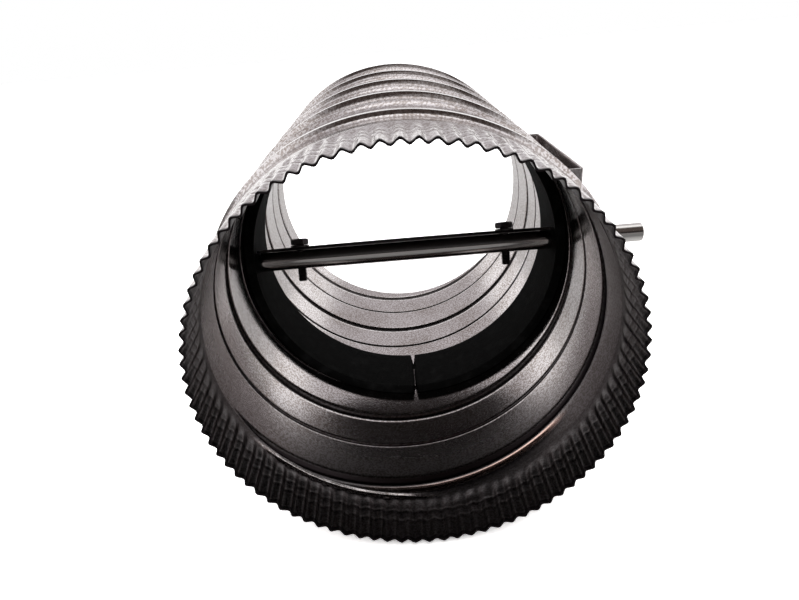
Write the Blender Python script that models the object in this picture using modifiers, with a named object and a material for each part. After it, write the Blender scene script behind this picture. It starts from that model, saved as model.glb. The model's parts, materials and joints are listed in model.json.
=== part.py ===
"""Round air duct section with a butterfly damper.

A spiral wound galvanised steel tube has one crimped end that slips into the next duct and one plain end.
Inside, a round blade is bolted to a shaft that turns in two bushes, and closes inside a black rubber band.
A sheet bracket stands off the duct round the driven end of the shaft.

Units are metres. +Y runs along the duct from its crimped end to its plain end, +X is the driven side of
the shaft and +Z is up. The origin is the middle of the underside of the bounding box.
"""
from math import atan2, ceil, cos, pi, radians, sin, sqrt, tau

import bmesh
import bpy
from mathutils import Matrix, Vector

# Clearances
GAP = 0.0003                    # between neighbours that touch on the real duct
WELD = 0.000001                 # points closer than this are one point
SPARE = 0.0050                  # how far a cutter reaches past what it cuts

# Duct tube
BORE_RADIUS = 0.1000
SHEET = 0.0007
DUCT_LENGTH = 0.2936
DUCT_FLATS = 60                 # flats round the tube, one of them at the bottom
HELIX_PITCH = 0.0598            # width of the strip that the tube is wound from
RIB_AT = 0.0441                 # from the crimped rim to the rib, at the bottom of the duct
RIB_WIDTH = 0.0080
RIB_HEIGHT = 0.0022
SEAM_AT = 0.0760                # from the crimped rim to the lock seam, at the bottom of the duct
SEAM_WIDTH = 0.0060
SEAM_HEIGHT = 0.0030
SEAM_SIDE = 0.0006              # width of each steep side of the lock seam
RIDGE_RISE = 0.0100             # length over which the ridges rise behind the crimps

# Crimped end
CRIMPS = 88
CRIMP_LENGTH = 0.0270           # straight part of the crimps
CRIMP_RUNOUT = 0.0070           # from there to the plain tube
CRIMP_DROP = 0.0006             # from the bore down to the crests
CRIMP_DEPTH = 0.0024            # from crest to valley
CRIMP_WALL = 0.0010             # sheet thickness of the slanting sides, measured along the radius

# Seal band
BAND_THICKNESS = 0.0060
BAND_WIDTH = 0.0410
BAND_AT = 0.1300                # from the crimped rim to the band
BAND_SLIT = 0.0010              # butt joint, at the bottom
BAND_EDGE = 0.0008              # chamfer on the band's inner edges

# Damper shaft
SHAFT_AT = 0.1458               # from the crimped rim to the shaft
SHAFT_RADIUS = 0.0060
SHAFT_STUB = {"left": 0.0039, "right": 0.0449}      # past the groove of each retaining ring
SHAFT_CHAMFER = 0.0006
SHAFT_SIDES = 32

# Blade, which leans with its front edge up at rest
BLADE_THICKNESS = 0.0015
BLADE_LEAN = radians(20.5)
BLADE_SIDES = 72

# Bolts that hold the blade, and their spring washers
BOLT_INSET = {"left": 0.0325, "right": 0.0350}      # from the bore to each bolt
BOLT_RADIUS = 0.0030
BOLT_HEAD_FLATS = 0.0100
BOLT_HEAD_HEIGHT = 0.0040
BOLT_TAIL = 0.0080              # thread that stands out under the shaft
BOLT_SIDES = 20
WASHER_RADIUS = 0.0059
WASHER_THICKNESS = 0.0016
WASHER_SLIT = 0.0010

# Bushes
BUSH_WALL = 0.0017
BUSH_FLANGE_RADIUS = 0.0120
BUSH_FLANGE = 0.0025
BUSH_SIDES = 32

# Retaining rings
RING_WIDTH = 0.0010
RING_RADIUS = 0.0090
RING_MOUTH = 0.0088             # width of the ring's open side
GROOVE_DEPTH = 0.0009

# Mounting bracket
BRACKET_SHEET = 0.0015
BRACKET_AT = 0.1300             # from the crimped rim to the face plate
BRACKET_FACE = 0.1120           # length of the face plate along the duct
BRACKET_FOOT = 0.0120           # length of each foot along the duct
BRACKET_HALF_HEIGHT = 0.0480
BRACKET_RISE = 0.0032           # from the inside of a foot to the inside of the face plate
FACE_BEND = 0.0010              # radius of the bends at the face plate, on the duct's side
FOOT_BEND = 0.0020              # radius of the bends at the feet, on the duct's side
BEND_STEPS = 2
BRACKET_ROWS = 12

# Places that follow from the sizes above
WALL_RADIUS = BORE_RADIUS + SHEET
CREST_RADIUS = WALL_RADIUS + max(SEAM_HEIGHT, RIB_HEIGHT)
BODY_START = CRIMP_LENGTH + CRIMP_RUNOUT
FLAT = cos(pi / DUCT_FLATS)     # how much nearer a flat is to the axis than a corner
FLANGE_INSIDE = CREST_RADIUS + GAP
GROOVE_AT = FLANGE_INSIDE + BUSH_FLANGE
GROOVE_WIDTH = RING_WIDTH + 2 * GAP
GROOVE_RADIUS = SHAFT_RADIUS - GROOVE_DEPTH
SHAFT_REACH = {side: GROOVE_AT + GROOVE_WIDTH + stub for side, stub in SHAFT_STUB.items()}
DUCT_AXIS = Vector((
    (SHAFT_REACH["left"] - SHAFT_REACH["right"]) / 2,
    -DUCT_LENGTH / 2,
    CREST_RADIUS * FLAT,
))
SHAFT_BORE = SHAFT_RADIUS + GAP
BUSH_RADIUS = SHAFT_BORE + BUSH_WALL
BUSH_HOLE = BUSH_RADIUS + GAP
BAND_RADIUS = BORE_RADIUS - GAP
BAND_BORE = BORE_RADIUS - BAND_THICKNESS
BLADE_BOTTOM = SHAFT_RADIUS + GAP
BLADE_TOP = BLADE_BOTTOM + BLADE_THICKNESS
BLADE_RADIUS = sqrt((BAND_BORE * FLAT - GAP) ** 2 - BLADE_TOP ** 2)
WASHER_BOTTOM = BLADE_TOP + GAP
HEAD_BOTTOM = WASHER_BOTTOM + WASHER_THICKNESS + GAP
BOLT_HOLE = BOLT_RADIUS + GAP
BOLT_AT = {"left": BOLT_INSET["left"] - BORE_RADIUS, "right": BORE_RADIUS - BOLT_INSET["right"]}
FOOT_RADIUS = CREST_RADIUS + GAP
FACE_INSIDE = FOOT_RADIUS + BRACKET_RISE
FACE_OUTSIDE = FACE_INSIDE + BRACKET_SHEET
BRACKET_HOLE = BUSH_FLANGE_RADIUS + GAP
ALONG_X = {
    "left": Matrix.Rotation(-pi / 2, 4, "Y"),
    "right": Matrix.Rotation(pi / 2, 4, "Y"),
}


def clear_scene():
    """Removes whatever the scene holds."""
    for thing in list(bpy.data.objects):
        bpy.data.objects.remove(thing, do_unlink=True)


def new_collection(name):
    """Makes a collection in the scene."""
    collection = bpy.data.collections.new(name)
    bpy.context.scene.collection.children.link(collection)
    return collection


def new_material(name, colour, metallic, roughness):
    """Makes a plain material."""
    material = bpy.data.materials.new(name)
    material.use_nodes = True
    shader = material.node_tree.nodes["Principled BSDF"]
    shader.inputs["Base Color"].default_value = (*colour, 1.0)
    shader.inputs["Metallic"].default_value = metallic
    shader.inputs["Roughness"].default_value = roughness
    material.diffuse_color = (*colour, 1.0)
    return material


def new_empty(name, place, parent=None):
    """Makes an empty that carries other objects."""
    empty = bpy.data.objects.new(name, None)
    PARTS.objects.link(empty)
    empty.parent = parent
    empty.matrix_local = place
    return empty


def new_piece(name, mesh, material, parent, place=Matrix.Identity(4)):
    """Makes a named piece, shaded smooth between its sharp edges."""
    mesh.name = name
    mesh.materials.append(material)
    mesh.shade_smooth()
    mesh.set_sharp_from_angle(angle=radians(30))
    piece = bpy.data.objects.new(name, mesh)
    PARTS.objects.link(piece)
    piece.parent = parent
    piece.matrix_local = place
    return piece


def new_cutter(name, mesh, parent, place=Matrix.Identity(4)):
    """Makes a shape that only cuts or completes the pieces."""
    cutter = bpy.data.objects.new(name, mesh)
    CUTTERS.objects.link(cutter)
    cutter.parent = parent
    cutter.matrix_local = place
    cutter.hide_render = True
    cutter.display_type = "WIRE"
    return cutter


def combine(piece, other, operation="DIFFERENCE"):
    """Cuts the other shape out of a piece, or adds it."""
    boolean = piece.modifiers.new(other.name, "BOOLEAN")
    boolean.operation = operation
    boolean.solver = "EXACT"
    boolean.object = other


def to_mesh(bm):
    """Turns a bmesh into a mesh whose faces point outwards."""
    bmesh.ops.recalc_face_normals(bm, faces=bm.faces)
    mesh = bpy.data.meshes.new("mesh")
    bm.to_mesh(mesh)
    bm.free()
    return mesh


def rod_mesh(radius, bottom, top, sides):
    """A round or many-sided bar along Z."""
    bm = bmesh.new()
    bmesh.ops.create_cone(
        bm, cap_ends=True, segments=sides, radius1=radius, radius2=radius, depth=top - bottom,
        matrix=Matrix.Translation((0.0, 0.0, (bottom + top) / 2)),
    )
    return to_mesh(bm)


def box_mesh(low, high):
    """A box between two corners."""
    bm = bmesh.new()
    low, high = Vector(low), Vector(high)
    size = Matrix.Diagonal((*(high - low), 1.0))
    bmesh.ops.create_cube(bm, size=1.0, matrix=Matrix.Translation((low + high) / 2) @ size)
    return to_mesh(bm)


def outline_mesh(outline, closed):
    """A line through (radius, height) points, for turning."""
    mesh = bpy.data.meshes.new("outline")
    edges = [(point, point + 1) for point in range(len(outline) - 1)]
    if closed:
        edges.append((len(outline) - 1, 0))
    mesh.from_pydata([(radius, 0.0, height) for radius, height in outline], edges, [])
    return mesh


def new_turned_piece(name, outline, sides, material, parent, place, closed=True):
    """Makes a piece by turning an outline about Z. The outline runs down its outer side."""
    piece = new_piece(name, outline_mesh(outline, closed), material, parent, place)
    screw = piece.modifiers.new("turn", "SCREW")
    screw.axis = "Z"
    screw.angle = tau
    screw.steps = screw.render_steps = sides
    screw.use_merge_vertices = True
    screw.merge_threshold = WELD
    return piece


def rolled_grid(bm, columns, rows, place):
    """Adds a grid of quads, lays each corner at place(column, row), and joins the corners that meet."""
    corners = bmesh.ops.create_grid(bm, x_segments=columns, y_segments=rows, size=1.0)["verts"]
    for corner in corners:
        column = round((corner.co.x + 1) / 2 * columns)
        row = round((corner.co.y + 1) / 2 * rows)
        corner.co = place(column, row)
    bmesh.ops.remove_doubles(bm, verts=corners, dist=WELD)


def on_tube(angle, along, radius=BORE_RADIUS):
    """The point at an angle from +X towards +Z round the duct's axis, and at a distance from the rim."""
    return Vector((radius * cos(angle), along, radius * sin(angle)))


def tube_angle(point):
    """The angle of a point round the duct's axis, from 0 to a whole turn."""
    return atan2(point.z, point.x) % tau


def past_ridge(angle, along, ridge_at):
    """The distance to the nearest turn of a ridge, negative in front of it."""
    climb = HELIX_PITCH * (angle / tau + 0.25)
    turns = (along - ridge_at - climb) / HELIX_PITCH
    return (turns - round(turns)) * HELIX_PITCH


def trapezium(offset, width, side):
    """A ridge's section: 1 on its crest and 0 beside it, with sides of the given width."""
    return min(1.0, max(0.0, (width / 2 - abs(offset)) / side))


def ridge_share(along):
    """The share of its height that a ridge has here: none at the crimps, and all of it further on."""
    return min(1.0, max(0.0, (along - BODY_START) / RIDGE_RISE))


def is_crimped(along):
    """Whether the tube is fully crimped here."""
    return along < CRIMP_LENGTH + WELD


def inside_radius(angle, along):
    """The inside radius of the tube."""
    if is_crimped(along):
        wave = abs(2 * ((angle * CRIMPS / tau) % 1.0) - 1)
        return BORE_RADIUS - CRIMP_DROP - CRIMP_DEPTH * (1 - wave)
    rib = trapezium(past_ridge(angle, along, RIB_AT), RIB_WIDTH, RIB_WIDTH / 2)
    return BORE_RADIUS + RIB_HEIGHT * rib * ridge_share(along)


def outside_radius(angle, along):
    """The outside radius of the tube."""
    if is_crimped(along):
        return inside_radius(angle, along) + CRIMP_WALL
    seam = trapezium(past_ridge(angle, along, SEAM_AT), SEAM_WIDTH, SEAM_SIDE)
    return inside_radius(angle, along) + SHEET + SEAM_HEIGHT * seam * ridge_share(along)


def strip_bends():
    """Where the wound strip bends, as distances from the rim at the bottom of the duct."""
    rib = [-RIB_WIDTH / 2, 0.0, RIB_WIDTH / 2]
    seam_edge = SEAM_WIDTH / 2
    seam = [-seam_edge, SEAM_SIDE - seam_edge, seam_edge - SEAM_SIDE, seam_edge]
    bends = [(RIB_AT + bend) % HELIX_PITCH for bend in rib]
    bends += [(SEAM_AT + bend) % HELIX_PITCH for bend in seam]
    turns = range(-2, ceil(DUCT_LENGTH / HELIX_PITCH) + 1)
    return [turn * HELIX_PITCH + bend for turn in turns for bend in sorted(bends)]


def add_wound_tube(bm):
    """Winds the strip into a tube whose two ends are square."""
    bends = strip_bends()
    first = pi / DUCT_FLATS - pi / 2

    def place(column, row):
        turned = (column + 0.5) / DUCT_FLATS
        along = bends[row] + HELIX_PITCH * turned
        angle = first + tau * column / DUCT_FLATS
        return on_tube(angle, min(DUCT_LENGTH, max(BODY_START, along)))

    rolled_grid(bm, DUCT_FLATS, len(bends) - 1, place)


def add_crimps(bm):
    """Adds the crimped collar, with a point on each crest and one in each valley."""
    points = 2 * CRIMPS

    def place(column, row):
        return on_tube(tau * column / points, row * CRIMP_LENGTH)

    rolled_grid(bm, points, 1, place)


def ring_at(bm, along):
    """The tube's points at a distance from the rim, in the order of their angles."""
    ring = [vert for vert in bm.verts if abs(vert.co.y - along) < WELD]
    return sorted(ring, key=lambda vert: tube_angle(vert.co))


def loft_rings(bm, front, back):
    """Joins two rings that have unlike numbers of points, with triangles."""
    at_front = at_back = 0
    while at_front < len(front) or at_back < len(back):
        corners = [front[at_front % len(front)], back[at_back % len(back)]]
        if (at_front + 0.5) / len(front) <= (at_back + 0.5) / len(back):
            at_front += 1
            corners.append(front[at_front % len(front)])
        else:
            at_back += 1
            corners.append(back[at_back % len(back)])
        bm.faces.new(corners)


def close_end(bm, inside, outside):
    """Closes one end of the wall between its inside and its outside."""
    for place, corner in enumerate(inside):
        after = (place + 1) % len(inside)
        bm.faces.new((corner, inside[after], outside[after], outside[place]))


def make_duct_body(material, parent, bush_hole):
    """Makes the tube: one surface is rolled, copied for the outside, and both are given their radii."""
    bm = bmesh.new()
    add_wound_tube(bm)
    add_crimps(bm)
    loft_rings(bm, ring_at(bm, CRIMP_LENGTH), ring_at(bm, BODY_START))
    inside = list(bm.verts)
    ends = [ring_at(bm, 0.0), ring_at(bm, DUCT_LENGTH)]
    outer = bmesh.ops.duplicate(bm, geom=bm.verts[:] + bm.edges[:] + bm.faces[:])["vert_map"]
    for end in ends:
        close_end(bm, end, [outer[vert] for vert in end])
    for vert in inside:
        angle, along = tube_angle(vert.co), vert.co.y
        vert.co = on_tube(angle, along, inside_radius(angle, along))
        outer[vert].co = on_tube(angle, along, outside_radius(angle, along))
    body = new_piece("duct_body", to_mesh(bm), material, parent)
    combine(body, bush_hole)


def make_seal_band(material, parent, bush_hole):
    """Makes the rubber band that lines the duct round the blade, open at its butt joint."""
    end = BAND_AT + BAND_WIDTH
    outline = [
        (BAND_RADIUS, end),
        (BAND_RADIUS, BAND_AT),
        (BAND_BORE + BAND_EDGE, BAND_AT),
        (BAND_BORE, BAND_AT + BAND_EDGE),
        (BAND_BORE, end - BAND_EDGE),
        (BAND_BORE + BAND_EDGE, end),
    ]
    place = Matrix.Rotation(-pi / 2, 4, "X") @ Matrix.Rotation(pi / DUCT_FLATS, 4, "Z")
    band = new_turned_piece("seal_band", outline, DUCT_FLATS, material, parent, place)
    slit = box_mesh(
        (-BAND_SLIT / 2, BAND_AT - SPARE, -BAND_RADIUS - SPARE),
        (BAND_SLIT / 2, end + SPARE, -BAND_BORE + SPARE),
    )
    combine(band, bush_hole)
    combine(band, new_cutter("band_slit", slit, parent))


def make_shaft(material, parent, bolt_holes):
    """Makes the shaft, with a chamfer at each end and a groove for each retaining ring."""
    half = [(0.0, SHAFT_REACH["right"]), (SHAFT_RADIUS - SHAFT_CHAMFER, SHAFT_REACH["right"])]
    half.append((SHAFT_RADIUS, SHAFT_REACH["right"] - SHAFT_CHAMFER))
    for start in (GROOVE_AT, -GROOVE_AT - GROOVE_WIDTH):
        end = start + GROOVE_WIDTH
        half += [(SHAFT_RADIUS, end), (GROOVE_RADIUS, end)]
        half += [(GROOVE_RADIUS, start), (SHAFT_RADIUS, start)]
    half.append((SHAFT_RADIUS, SHAFT_CHAMFER - SHAFT_REACH["left"]))
    half += [(SHAFT_RADIUS - SHAFT_CHAMFER, -SHAFT_REACH["left"]), (0.0, -SHAFT_REACH["left"])]
    shaft = new_turned_piece(
        "damper_shaft", half, SHAFT_SIDES, material, parent, ALONG_X["right"], closed=False)
    for hole in bolt_holes:
        combine(shaft, hole)


def make_blade(material, parent, bolt_holes):
    """Makes the round blade, which lies on the shaft."""
    disc = rod_mesh(BLADE_RADIUS, BLADE_BOTTOM, BLADE_TOP, BLADE_SIDES)
    blade = new_piece("damper_blade", disc, material, parent)
    for hole in bolt_holes:
        combine(blade, hole)


def make_bolt(side, material, parent):
    """Makes a bolt: its head lies on the washer, and its thread stands out under the shaft."""
    place = Matrix.Translation((BOLT_AT[side], 0.0, 0.0))
    corner_radius = BOLT_HEAD_FLATS / sqrt(3)
    head = rod_mesh(corner_radius, HEAD_BOTTOM, HEAD_BOTTOM + BOLT_HEAD_HEIGHT, 6)
    shank = rod_mesh(
        BOLT_RADIUS, -SHAFT_RADIUS - BOLT_TAIL, HEAD_BOTTOM + BOLT_HEAD_HEIGHT / 2, BOLT_SIDES)
    bolt = new_piece(f"blade_bolt_{side}", head, material, parent, place)
    combine(bolt, new_cutter(f"bolt_shank_{side}", shank, parent, place), "UNION")


def make_washer(side, material, parent):
    """Makes the split spring washer under a bolt's head."""
    top = WASHER_BOTTOM + WASHER_THICKNESS
    outline = [
        (WASHER_RADIUS, top), (WASHER_RADIUS, WASHER_BOTTOM),
        (BOLT_HOLE, WASHER_BOTTOM), (BOLT_HOLE, top),
    ]
    place = Matrix.Translation((BOLT_AT[side], 0.0, 0.0))
    washer = new_turned_piece(
        f"spring_washer_{side}", outline, BOLT_SIDES, material, parent, place)
    slit = box_mesh(
        (-WASHER_SLIT / 2, 0.0, WASHER_BOTTOM - SPARE),
        (WASHER_SLIT / 2, WASHER_RADIUS + SPARE, top + SPARE),
    )
    combine(washer, new_cutter(f"washer_slit_{side}", slit, parent, place))


def make_bush(side, material, parent):
    """Makes a flanged bush that is pushed in from outside the duct."""
    outside = FLANGE_INSIDE + BUSH_FLANGE
    outline = [
        (BUSH_FLANGE_RADIUS, outside), (BUSH_FLANGE_RADIUS, FLANGE_INSIDE),
        (BUSH_RADIUS, FLANGE_INSIDE), (BUSH_RADIUS, BAND_BORE),
        (SHAFT_BORE, BAND_BORE), (SHAFT_BORE, outside),
    ]
    new_turned_piece(
        f"shaft_bush_{side}", outline, BUSH_SIDES, material, parent, ALONG_X[side])


def make_retaining_ring(side, material, parent):
    """Makes the open ring that holds the shaft behind a bush."""
    inside = GROOVE_AT + GAP
    bore = GROOVE_RADIUS + GAP
    outline = [
        (RING_RADIUS, inside + RING_WIDTH), (RING_RADIUS, inside),
        (bore, inside), (bore, inside + RING_WIDTH),
    ]
    ring = new_turned_piece(
        f"retaining_ring_{side}", outline, BUSH_SIDES, material, parent, ALONG_X[side])
    mouth = box_mesh(
        (0.0, -RING_MOUTH / 2, inside - SPARE),
        (RING_RADIUS + SPARE, RING_MOUTH / 2, inside + RING_WIDTH + SPARE),
    )
    combine(ring, new_cutter(f"ring_mouth_{side}", mouth, parent, ALONG_X[side]))


def bent_path(corners, radii):
    """A path of (along, across) points through square corners, each rounded to its radius."""
    path = [corners[0]]
    for before, corner, after, radius in zip(corners, corners[1:], corners[2:], radii):
        arriving = (corner - before).normalized()
        leaving = (after - corner).normalized()
        centre = corner + radius * (leaving - arriving)
        for step in range(BEND_STEPS + 1):
            turned = pi / 2 * step / BEND_STEPS
            path.append(centre + radius * (arriving * sin(turned) - leaving * cos(turned)))
    return path + [corners[-1]]


def bracket_section(height):
    """The bracket's duct-side surface at a height, from foot to foot."""
    foot = sqrt(FOOT_RADIUS ** 2 - height ** 2)
    front = BRACKET_AT + BRACKET_SHEET
    back = BRACKET_AT + BRACKET_FACE - BRACKET_SHEET
    corners = [
        Vector((BRACKET_AT - BRACKET_FOOT, foot)), Vector((front, foot)),
        Vector((front, FACE_INSIDE)), Vector((back, FACE_INSIDE)),
        Vector((back, foot)), Vector((BRACKET_AT + BRACKET_FACE + BRACKET_FOOT, foot)),
    ]
    return bent_path(corners, [FOOT_BEND, FACE_BEND, FACE_BEND, FOOT_BEND])


def make_bracket(material, parent, flange_hole):
    """Makes the mounting bracket: a bent sheet whose feet follow the round of the duct."""
    heights = [
        BRACKET_HALF_HEIGHT * (2 * row / BRACKET_ROWS - 1) for row in range(BRACKET_ROWS + 1)]
    sections = [bracket_section(height) for height in heights]

    def place(column, row):
        along, across = sections[row][column]
        return Vector((across, along, heights[row]))

    bm = bmesh.new()
    rolled_grid(bm, len(sections[0]) - 1, BRACKET_ROWS, place)
    bracket = new_piece("mounting_bracket", to_mesh(bm), material, parent)
    solidify = bracket.modifiers.new("sheet", "SOLIDIFY")
    solidify.thickness = BRACKET_SHEET
    solidify.offset = 1.0
    solidify.use_even_offset = True
    combine(bracket, flange_hole)


def main():
    """Makes every piece of the duct."""
    steel = new_material("galvanised_steel", (0.52, 0.52, 0.53), 1.0, 0.38)
    rubber = new_material("black_rubber", (0.012, 0.012, 0.012), 0.0, 0.85)
    plated = new_material("plated_shaft", (0.68, 0.67, 0.65), 1.0, 0.16)
    fastener = new_material("dark_fastener", (0.10, 0.09, 0.09), 1.0, 0.40)
    nylon = new_material("black_nylon", (0.020, 0.020, 0.022), 0.0, 0.50)

    duct = new_empty("duct_axis", Matrix.Translation(DUCT_AXIS))
    shaft_line = new_empty("shaft_axis", Matrix.Translation((0.0, SHAFT_AT, 0.0)), duct)
    damper = new_empty("damper_hinge", Matrix.Rotation(-BLADE_LEAN, 4, "X"), shaft_line)

    bush_rod = rod_mesh(BUSH_HOLE, -CREST_RADIUS - SPARE, CREST_RADIUS + SPARE, BUSH_SIDES)
    bush_hole = new_cutter("bush_hole", bush_rod, shaft_line, ALONG_X["right"])
    flange_rod = rod_mesh(BRACKET_HOLE, WALL_RADIUS, FACE_OUTSIDE + SPARE, BUSH_SIDES)
    flange_hole = new_cutter("flange_hole", flange_rod, shaft_line, ALONG_X["right"])
    bolt_holes = []
    for side, across in BOLT_AT.items():
        rod = rod_mesh(BOLT_HOLE, -SHAFT_RADIUS - SPARE, BLADE_TOP + SPARE, BOLT_SIDES)
        place = Matrix.Translation((across, 0.0, 0.0))
        bolt_holes.append(new_cutter(f"bolt_hole_{side}", rod, damper, place))

    make_duct_body(steel, duct, bush_hole)
    make_seal_band(rubber, duct, bush_hole)
    make_bracket(steel, duct, flange_hole)
    make_shaft(plated, damper, bolt_holes)
    make_blade(steel, damper, bolt_holes)
    for side in ("left", "right"):
        make_bush(side, nylon, shaft_line)
        make_retaining_ring(side, fastener, damper)
        make_bolt(side, fastener, damper)
        make_washer(side, fastener, damper)


clear_scene()
PARTS = new_collection("air_duct_section")
CUTTERS = new_collection("cutters")
main()
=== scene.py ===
"""Dresses a round duct section with a butterfly damper.

The duct is wound from a strip of galvanised steel. Its front end is crimped, so that it slips into the next
duct. A sheet blade is bolted on a plated shaft, and shuts inside a band of black rubber. The driven end of
the shaft stands out beside a sheet bracket.

Units are metres. +Y runs along the duct from its crimped end, +X is the driven side and +Z is up. A size
called "at" runs from the crimped rim along the duct. Angles round the duct run from +X towards +Z.
"""
import json
from math import asin, cos, pi, radians, sin, sqrt, tau

import bmesh
import bpy
from bpy.props import FloatProperty, FloatVectorProperty, IntProperty, PointerProperty
from bpy.types import Operator, Panel, PropertyGroup
from mathutils import Matrix, Vector


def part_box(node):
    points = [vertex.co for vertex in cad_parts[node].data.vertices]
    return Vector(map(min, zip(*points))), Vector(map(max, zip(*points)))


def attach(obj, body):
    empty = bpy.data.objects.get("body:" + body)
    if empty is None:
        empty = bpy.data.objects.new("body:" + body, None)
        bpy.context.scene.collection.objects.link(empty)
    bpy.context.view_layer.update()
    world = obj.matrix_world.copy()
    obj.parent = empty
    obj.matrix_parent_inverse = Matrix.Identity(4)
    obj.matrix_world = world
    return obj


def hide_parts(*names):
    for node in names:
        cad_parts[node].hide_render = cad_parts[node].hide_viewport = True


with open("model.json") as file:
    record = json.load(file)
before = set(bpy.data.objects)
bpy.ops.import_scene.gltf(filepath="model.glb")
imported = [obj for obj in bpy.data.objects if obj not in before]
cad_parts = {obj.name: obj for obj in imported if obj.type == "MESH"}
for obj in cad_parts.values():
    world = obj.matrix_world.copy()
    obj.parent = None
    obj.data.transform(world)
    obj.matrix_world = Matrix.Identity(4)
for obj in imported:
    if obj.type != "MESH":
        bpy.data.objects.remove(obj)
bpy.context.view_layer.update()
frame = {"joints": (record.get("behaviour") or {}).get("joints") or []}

bl_info = {
    "name": "Round Duct Section with Damper",
    "version": (1, 0, 0),
    "blender": (4, 5, 0),
    "location": "View3D > Sidebar > Duct",
    "description": "Makes a spiral wound duct section with a crimped end and a butterfly damper",
    "category": "Add Mesh",
}

# Places that the frame gives
TUBE_LOW, TUBE_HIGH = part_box("duct_body")
SHAFT_LOW, SHAFT_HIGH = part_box("damper_shaft")
BRACKET_LOW, BRACKET_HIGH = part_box("mounting_bracket")
RIM = Vector(((TUBE_LOW.x + TUBE_HIGH.x) / 2, TUBE_LOW.y, (TUBE_LOW.z + TUBE_HIGH.z) / 2))
HINGE = frame["joints"][0]
SHAFT_PLACE = Vector(HINGE["pos_m"])
BLADE_LEAN = radians(max(HINGE["range_deg"]))
CREST_ROOM = 0.00006            # keeps the round crests inside the flat-sided solid's box
SKIN = 0.0001                   # clearance between pieces that touch on the real duct
WELD = 0.000002                 # points closer than this are one point
DRILL = 0.02                    # how far a cutter reaches through what it drills
EDGE, RING_EDGE, WASHER_EDGE = 0.0003, 0.00015, 0.0001      # rounding of the small pieces' edges

# How many flat sides or points stand for each round shape
HOLE_SIDES, BUSH_SIDES, SHAFT_SIDES, RING_POINTS, BLADE_SIDES = 48, 72, 96, 120, 256

# Frames in which the damper's pieces are made. In the first, the bolts run along Z and the shaft along X. In
# the other two, the shaft runs along Z towards its left or right end.
DAMPER = Matrix.Translation(SHAFT_PLACE) @ Matrix.Rotation(-BLADE_LEAN, 4, "X")
OUTWARDS = {
    "left": Matrix.Translation(SHAFT_PLACE) @ Matrix.Rotation(-pi / 2, 4, "Y"),
    "right": Matrix.Translation(SHAFT_PLACE) @ Matrix.Rotation(pi / 2, 4, "Y"),
}


def length(name, description, default):
    """A size that the user may change."""
    return FloatProperty(
        name=name, description=description, default=default, min=0.0, precision=5, unit="LENGTH")


def count(name, description, default):
    """A number of points or copies."""
    return IntProperty(name=name, description=description, default=default, min=1)


def share(name, description, default):
    """A number from 0 to 1."""
    return FloatProperty(name=name, description=description, default=default, min=0.0, max=1.0)


def colour(name, description, default):
    """A colour that the user may change."""
    return FloatVectorProperty(
        name=name, description=description, default=default, size=3, min=0.0, max=1.0, subtype="COLOR")


class DuctTubeSizes(PropertyGroup):
    """Sizes of the wound tube."""

    bore_radius: length("Bore radius", "Inside radius of the plain tube", 0.1)
    sheet: length("Sheet", "Thickness of the strip", 0.0007)
    end: length("End", "Length of the whole duct", TUBE_HIGH.y - TUBE_LOW.y)
    start: length("Start", "From the crimped rim to the end of the crimps' run-out", 0.034)
    pitch: length("Pitch", "Width of the strip", 0.0598)
    rib_at: length("Rib at", "From the rim to the rib, at the bottom of the duct", 0.0441)
    rib_width: length("Rib width", "Width of the rolled rib", 0.0080)
    rib_height: length("Rib height", "Height of the rolled rib", 0.0022)
    seam_at: length("Seam at", "From the rim to the lock seam, at the bottom of the duct", 0.0760)
    seam_width: length("Seam width", "Width of the folded lock seam", 0.0060)
    seam_side: length("Seam side", "Width of each rounded side of the seam", 0.0006)
    crest_radius: length(
        "Crest radius", "Outside radius of the seam", (TUBE_HIGH.z - TUBE_LOW.z) / 2 - CREST_ROOM)
    slit_width: length("Slit width", "Width of the slit inside the seam", 0.0024)
    slit_depth: length("Slit depth", "Depth of the slit inside the seam", 0.0015)
    rise: length("Rise", "Length over which the ridges rise behind the crimps", 0.0030)
    ripple: length("Ripple", "How far the sheet is out of round", 0.0003)
    neck: length("Neck", "How far the crimping draws the tube in", 0.0005)
    neck_length: length("Neck length", "From the crimps' run-out to the full bore", 0.0420)
    lip_width: length("Lip width", "Length of the slope before the first rib, at the bottom", 0.0034)
    lip_height: length("Lip height", "Height of that slope", 0.0012)
    lip_full: length("Lip full", "From the run-out to where the slope begins to fade", 0.0300)
    lip_end: length("Lip end", "From the run-out to where the slope has faded", 0.0400)
    # Painted shade: the inside right behind the crimps is darkened, more at the bottom and on the driven
    # side, fading along the duct.
    stain: share("Stain", "How stained the inside is, right behind the crimps", 0.60)
    stain_low: share("Stain low", "How much more the bottom is stained", 0.25)
    stain_side: share("Stain side", "How much more the driven side is stained", 0.12)
    stain_end: length("Stain end", "From the run-out to where the stain has faded", 0.0650)
    columns: count("Columns", "Points round the tube", 192)
    rows_per_turn: count("Rows per turn", "Points across the strip", 40)


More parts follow.
